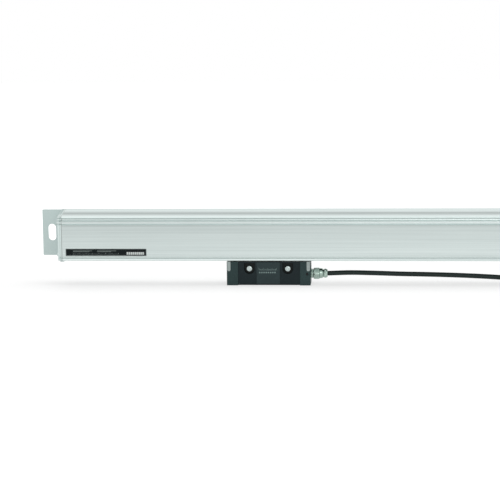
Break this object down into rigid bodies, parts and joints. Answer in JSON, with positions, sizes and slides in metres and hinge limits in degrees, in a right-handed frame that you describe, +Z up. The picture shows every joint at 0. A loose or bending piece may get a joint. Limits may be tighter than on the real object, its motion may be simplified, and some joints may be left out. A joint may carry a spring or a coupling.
{
  "type": "linear glass scale",
  "caption": "Sealed linear encoder: a glass scale in a slotted extruded housing with end brackets, and a cabled scanning head that slides along its underside.",
  "frame": {"origin": "under the middle of the scale unit, on the surface that the head stands on, midway between its front and its mounting face", "axes": "+X along the scale towards the cable side, -Y is the front with the screws, +Y is the mounting side, +Z up from the head to the housing"},
  "size_m": [0.8755, 0.0516, 0.085],
  "materials": {
    "housing_aluminium": "clear anodised extrusion, fine lines along its length",
    "glass": "polished, with a fine grating",
    "cushion": "pale silicone rubber, soft and slightly dusty",
    "seal_rubber": "smooth extruded rubber",
    "cap_metal": "die cast, fine blasted",
    "bracket_metal": "milled and anodised, satin",
    "screw_steel": "zinc plated",
    "label": "thin black film",
    "head_black": "die cast, fine textured black coat",
    "cover_black": "die cast, fine textured black coat",
    "black_steel": "blackened",
    "circuit_board": "solder resist",
    "chip_plastic": "moulded epoxy",
    "sheet_steel": "rolled stainless sheet",
    "carriage_metal": "die cast, machined seats",
    "bright_steel": "ground bearing steel",
    "lens_glass": "polished",
    "lamp_body": "clear resin on a metal flange",
    "nickel": "nickel plated brass, satin",
    "cable_jacket": "smooth polyurethane",
    "tie_fabric": "woven hook and loop strap",
    "hood_metal": "metallised plastic, satin",
    "insert_plastic": "moulded",
    "gold": "gold flashed"
  },
  "bodies": {
    "scale_unit": {"housing": "housing_aluminium", "glass_scale": "glass", "scale_cushion": "cushion", "lip_seal_front": "seal_rubber", "lip_seal_rear": "seal_rubber", "end_gasket_left": "cushion", "end_gasket_right": "cushion", "end_cap_left": "cap_metal", "end_cap_right": "cap_metal", "bracket_left": "bracket_metal", "bracket_right": "bracket_metal", "end_screws_left": "screw_steel", "end_screws_right": "screw_steel", "type_label": "label"},
    "scanning_unit": {"head_body": "head_black", "head_cover_left": "cover_black", "head_cover_right": "cover_black", "cover_screws": "black_steel", "head_board": "circuit_board", "board_parts": "chip_plastic", "blade_plate": "sheet_steel", "plate_screws": "screw_steel", "blade": "sheet_steel", "blade_holder": "sheet_steel", "coupling_rod": "bright_steel", "carriage": "carriage_metal", "roller_pins": "bright_steel", "condenser_lens": "lens_glass", "light_source": "lamp_body", "scanning_reticle": "glass", "detector_board": "circuit_board", "photodiodes": "chip_plastic", "mounting_screws": "screw_steel", "gland_body": "nickel", "gland_nut": "nickel", "gland_seal": "seal_rubber", "gland_collar": "nickel", "gland_lock_screw": "black_steel", "cable": "cable_jacket", "cable_hank": "cable_jacket", "hank_tie": "tie_fabric", "cable_tail": "cable_jacket", "plug_boot": "cable_jacket", "hood_lower": "hood_metal", "hood_upper": "hood_metal", "hood_screws": "screw_steel", "plug_shell": "nickel", "plug_insert": "insert_plastic", "plug_contacts": "gold"},
    "face_roller_left": {"face_roller_left": "bright_steel"},
    "face_roller_middle": {"face_roller_middle": "bright_steel"},
    "face_roller_right": {"face_roller_right": "bright_steel"},
    "edge_roller_left": {"edge_roller_left": "bright_steel"},
    "edge_roller_right": {"edge_roller_right": "bright_steel"},
    "thumbscrew_front": {"thumbscrew_front": "nickel"},
    "thumbscrew_rear": {"thumbscrew_rear": "nickel"}
  },
  "joints": [
    {"name": "head_slide", "type": "slide", "parent": "scale_unit", "child": "scanning_unit", "axis": [1, 0, 0], "range_m": [-0.183, 0.243]},
    {"name": "face_roller_left_spin", "type": "hinge", "parent": "scanning_unit", "child": "face_roller_left", "pos_m": [-0.0585, -0.0021, 0.05948], "axis": [0, 0, 1], "continuous": true},
    {"name": "face_roller_middle_spin", "type": "hinge", "parent": "scanning_unit", "child": "face_roller_middle", "pos_m": [-0.0305, -0.0021, 0.0682], "axis": [0, 0, 1], "continuous": true},
    {"name": "face_roller_right_spin", "type": "hinge", "parent": "scanning_unit", "child": "face_roller_right", "pos_m": [-0.0025, -0.0021, 0.05948], "axis": [0, 0, 1], "continuous": true},
    {"name": "edge_roller_left_spin", "type": "hinge", "parent": "scanning_unit", "child": "edge_roller_left", "pos_m": [-0.0505, 0.004, 0.05218], "axis": [0, 1, 0], "continuous": true},
    {"name": "edge_roller_right_spin", "type": "hinge", "parent": "scanning_unit", "child": "edge_roller_right", "pos_m": [-0.0105, 0.004, 0.05218], "axis": [0, 1, 0], "continuous": true},
    {"name": "thumbscrew_front_turn", "type": "hinge", "parent": "scanning_unit", "child": "thumbscrew_front", "pos_m": [0.5525, -0.0205, 0.0075], "axis": [1, 0, 0], "continuous": true},
    {"name": "thumbscrew_rear_turn", "type": "hinge", "parent": "scanning_unit", "child": "thumbscrew_rear", "pos_m": [0.5525, 0.0045, 0.0075], "axis": [1, 0, 0], "continuous": true}
  ],
  "couplings": [
    {"joint": "face_roller_left_spin", "follows": "head_slide", "rad_per_m": 250},
    {"joint": "face_roller_middle_spin", "follows": "head_slide", "rad_per_m": 250},
    {"joint": "face_roller_right_spin", "follows": "head_slide", "rad_per_m": 250},
    {"joint": "edge_roller_left_spin", "follows": "head_slide", "rad_per_m": -250},
    {"joint": "edge_roller_right_spin", "follows": "head_slide", "rad_per_m": -250}
  ]
}
